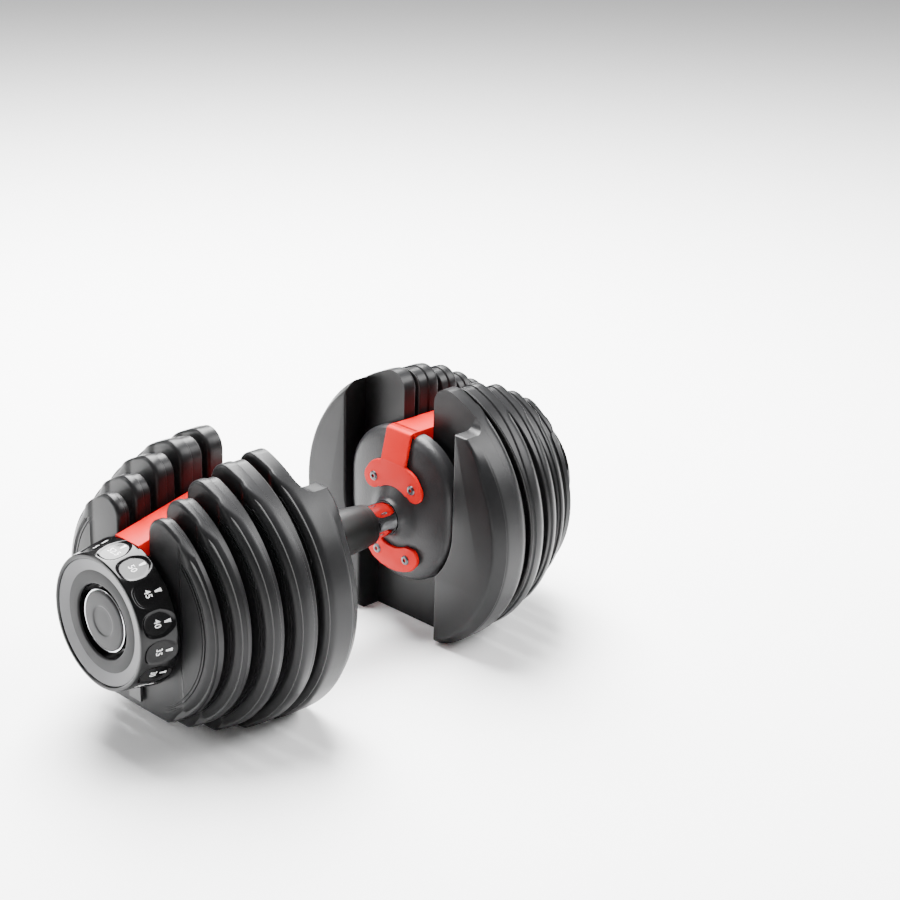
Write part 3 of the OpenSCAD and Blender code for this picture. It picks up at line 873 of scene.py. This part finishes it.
def make_dial(side):
    """Number band, bevelled ring, dished floor, cap and chrome bezel of one dial."""
    body = f"{side}_dial"
    bm = bmesh.new()
    columns = len(LABELS) * 28
    stations = [DIAL_IN + t for t in (0, 0.15, 0.4, 0.7, 1.0)]
    count = 34
    stations += [DIAL_IN + 1.0 + (DIAL_OUT - DIAL_IN - 2.0) * k / count for k in range(1, count)]
    stations += [DIAL_OUT - t for t in (1.0, 0.7, 0.4, 0.15, 0)]
    behind = [(DIAL_IN + 5, HUB_R), (DIAL_IN + 5, 43), (DIAL_IN, 43)]
    front = [(DIAL_OUT - 0.05, BEVEL_R + 1.2), (DIAL_OUT - 0.25, BEVEL_R + 0.5),
             (DIAL_OUT - 0.7, BEVEL_R + 0.1), (DIAL_OUT - 4.5, BEVEL_R), (DIAL_OUT - 4.5, GROOVE_R),
             (DIAL_OUT - 11, GROOVE_R - 0.3), (DIAL_OUT - 11, CAP_R), (DIAL_IN + 8, CAP_R),
             (DIAL_IN + 8, HUB_R)]
    rings = []
    for k in range(columns):
        a = 360 * k / columns
        profile = behind + [(x, dial_surface(x, a)) for x in stations] + front
        sa, ca = math.sin(math.radians(a)), math.cos(math.radians(a))
        rings.append([turned(side, (x, -r * sa, r * ca)) for x, r in profile])
    rings.append(rings[0])
    add_rings(bm, rings, (False, False))
    add_piece(f"{side}_number_dial", bm, body, "dial_plastic", [f"{side}_dial"], 60)
    make_numbers(side, body)

    bm = bmesh.new()
    out = DIAL_OUT
    lathe(bm, lambda p: turned(side, p),
          [(out - 4.4, DISH_R), (out - 4.4, BEVEL_R - 0.05), (out - 1.1, BEVEL_R - 0.05),
           (out - 0.9, BEVEL_R - 0.25), (out - 0.95, BEVEL_R - 0.7),
           (out - 2.95, DISH_R + 0.7), (out - 3.1, DISH_R)])
    add_piece(f"{side}_bevel_ring", bm, body, "trim_grey", [f"{side}_dial_trim_ring"], 32)

    bm = bmesh.new()
    lathe(bm, lambda p: turned(side, p),
          [(out - 4.4, GROOVE_R), (out - 4.4, DISH_R - 0.02), (out - 3.1, DISH_R - 0.02),
           (out - 3.0, DISH_R - 0.4), (out - 3.0, GROOVE_R + 1.4), (out - 3.1, GROOVE_R + 0.7),
           (out - 3.5, GROOVE_R + 0.2), (out - 4.0, GROOVE_R)])
    add_piece(f"{side}_floor_ring", bm, body, "trim_grey", (), 32, FLOOR_GREY)

    bm = bmesh.new()
    lathe(bm, lambda p: turned(side, p),
          [(out - 15, 16), (out - 15, CAP_R - 1.0), (out - 5.4, CAP_R - 1.0),
           (out - 4.7, CAP_R - 1.25), (out - 4.3, CAP_R - 1.9), (out - 4.2, CAP_R - 2.8),
           (out - 3.9, 13.0), (out - 3.85, 10.9), (out - 3.95, 10.3), (out - 4.3, 9.9),
           (out - 4.4, 9.3), (out - 4.35, 6), (out - 4.3, 2.5), (out - 4.3, 0.02), (out - 8, 0.02),
           (out - 8, 16)])
    add_piece(f"{side}_cap", bm, body, "cap_grey", [f"{side}_hub_cap"], 32)

    bm = bmesh.new()
    lathe(bm, lambda p: turned(side, p),
          [(out - 8.0, CAP_R - 0.9), (out - 8.0, CAP_R + 0.5), (out - 5.9, CAP_R + 0.5),
           (out - 5.3, CAP_R + 0.3), (out - 5.1, CAP_R - 0.1), (out - 5.3, CAP_R - 0.6),
           (out - 5.8, CAP_R - 0.9)])
    add_piece(f"{side}_cap_bezel", bm, body, "trim_grey", (), 32, CHROME_TRIM)


LETTER_SIZE = 6.3
LETTER_R = 47.5                  # turns widths along the band into angles
LETTER_SQUEEZE = 0.92
LETTER_X = 15.4                  # foot of the letters, outward from the dial's inner face
TICK_X = 8.6
PRINT_UP, PRINT_DOWN = 0.10, 0.25                    # above and below the band's surface


def solid_text(word, size, bold):
    """A word as a mesh 1 unit thick, centred across and standing on its foot line."""
    curve = bpy.data.curves.new("word", "FONT")
    curve.body = word
    curve.size = size
    curve.offset = bold
    curve.align_x = "CENTER"
    curve.resolution_u = 3
    curve.extrude = 0.5
    holder = bpy.data.objects.new("word", curve)
    bpy.context.scene.collection.objects.link(holder)
    dg = bpy.context.evaluated_depsgraph_get()
    mesh = bpy.data.meshes.new_from_object(holder.evaluated_get(dg))
    bm = bmesh.new()
    bm.from_mesh(mesh)
    bpy.data.objects.remove(holder)
    bpy.data.curves.remove(curve)
    bpy.data.meshes.remove(mesh)
    bmesh.ops.remove_doubles(bm, verts=bm.verts, dist=1e-4)
    return bm


def tick_mesh(length, narrow, wide):
    """Wedge 1 unit thick, narrow end at the origin, wide end towards +Y."""
    bm = bmesh.new()
    corners = [(-narrow / 2, 0), (narrow / 2, 0), (wide / 2, length), (-wide / 2, length)]
    rings = [[(x, y, z) for x, y in corners] for z in (-0.5, 0.5)]
    add_rings(bm, rings)
    return bm


def split_long_edges(bm, limit):
    """Cuts up edges longer than limit, so that the mesh can be bent, and leaves triangles."""
    for _ in range(5):
        bmesh.ops.triangulate(bm, faces=bm.faces[:])
        long_edges = [e for e in bm.edges if e.calc_length() > limit]
        if not long_edges:
            break
        bmesh.ops.subdivide_edges(bm, edges=long_edges, cuts=1)
    bmesh.ops.triangulate(bm, faces=bm.faces[:])


def make_numbers(side, body):
    """White numbers and wedges, bent onto the recessed band; up is towards the plates."""
    bm = bmesh.new()
    for k, word in enumerate(LABELS):
        centre = (k + 1) * PITCH - LABEL_TURN
        number = solid_text(word, LETTER_SIZE, 0.03)
        tick = tick_mesh(4.6, 1.1, 2.3)
        for part, x_base, squeeze in ((number, DIAL_IN + LETTER_X, LETTER_SQUEEZE),
                                      (tick, DIAL_IN + TICK_X, 1)):
            split_long_edges(part, 1.1)
            for v in part.verts:
                across, up, level = v.co
                x = x_base - up
                # the reading direction runs from -Y to +Y over the top
                a = centre - math.degrees(across * squeeze / LETTER_R)
                r = dial_surface(x, a) + (PRINT_UP if level > 0 else -PRINT_DOWN)
                rad = math.radians(a)
                v.co = turned(side, (x, -r * math.sin(rad), r * math.cos(rad)))
            mesh = bpy.data.meshes.new("part")
            part.to_mesh(mesh)
            part.free()
            bm.from_mesh(mesh)
            bpy.data.meshes.remove(mesh)
    add_piece(f"{side}_numbers", bm, body, "dial_plastic", (), 30, WHITE)


make_grip()
for side in SIDES:
    make_end_plate(side)
    make_bridge(side)
    make_lower_bracket(side)
    make_screws(side)
    make_dial(side)


# ---- stage, lights and camera ----
CAMERA_LENS = 83.055
CAMERA_AT = (-0.8951, -0.9843, 0.5923 + AXIS_Z * MM)
CAMERA_TURN = (68.4544, -1.4371, -45.2219)


def make_floor():
    mesh = bpy.data.meshes.new("floor")
    s = 9.0
    mesh.from_pydata([(-s, -s, 0), (s, -s, 0), (s, s, 0), (-s, s, 0)], [], [(0, 1, 2, 3)])
    floor = bpy.data.objects.new("floor", mesh)
    bpy.context.scene.collection.objects.link(floor)
    mesh.materials.append(base_material("paper_floor", (0.97, 0.97, 0.97), rough=0.85)[0])


def area_light(name, place, target, size, power, size_y=None):
    light = bpy.data.lights.new(name, "AREA")
    light.energy = power
    light.size = size
    if size_y:
        light.shape = "RECTANGLE"
        light.size_y = size_y
    holder = bpy.data.objects.new(name, light)
    bpy.context.scene.collection.objects.link(holder)
    holder.location = place
    holder.rotation_euler = (Vector(target) - Vector(place)).to_track_quat("-Z", "Y").to_euler()


def make_camera():
    data = bpy.data.cameras.new("camera")
    data.sensor_width = 36
    data.lens = CAMERA_LENS
    holder = bpy.data.objects.new("camera", data)
    bpy.context.scene.collection.objects.link(holder)
    holder.location = CAMERA_AT
    holder.rotation_euler = Euler([math.radians(a) for a in CAMERA_TURN])
    data.clip_start, data.clip_end = 0.05, 50
    bpy.context.scene.camera = holder


def make_world(strength):
    world = bpy.data.worlds.new("studio")
    bpy.context.scene.world = world
    world.use_nodes = True
    background = world.node_tree.nodes["Background"]
    background.inputs["Color"].default_value = (1.0, 1.0, 1.0, 1)
    background.inputs["Strength"].default_value = strength


make_floor()
make_camera()
make_world(0.42)
area_light("top_box", (0.31, 0.56, 1.44), (-0.187, 0, 0.14), size=0.9, size_y=1.55, power=235)
area_light("right_box", (1.5, -1.1, 1.5), (0, 0, 0.1), size=1.1, power=90)
area_light("back_left_box", (-1.5, 1.6, 1.0), (-0.1, 0, 0.1), size=0.8, power=34)
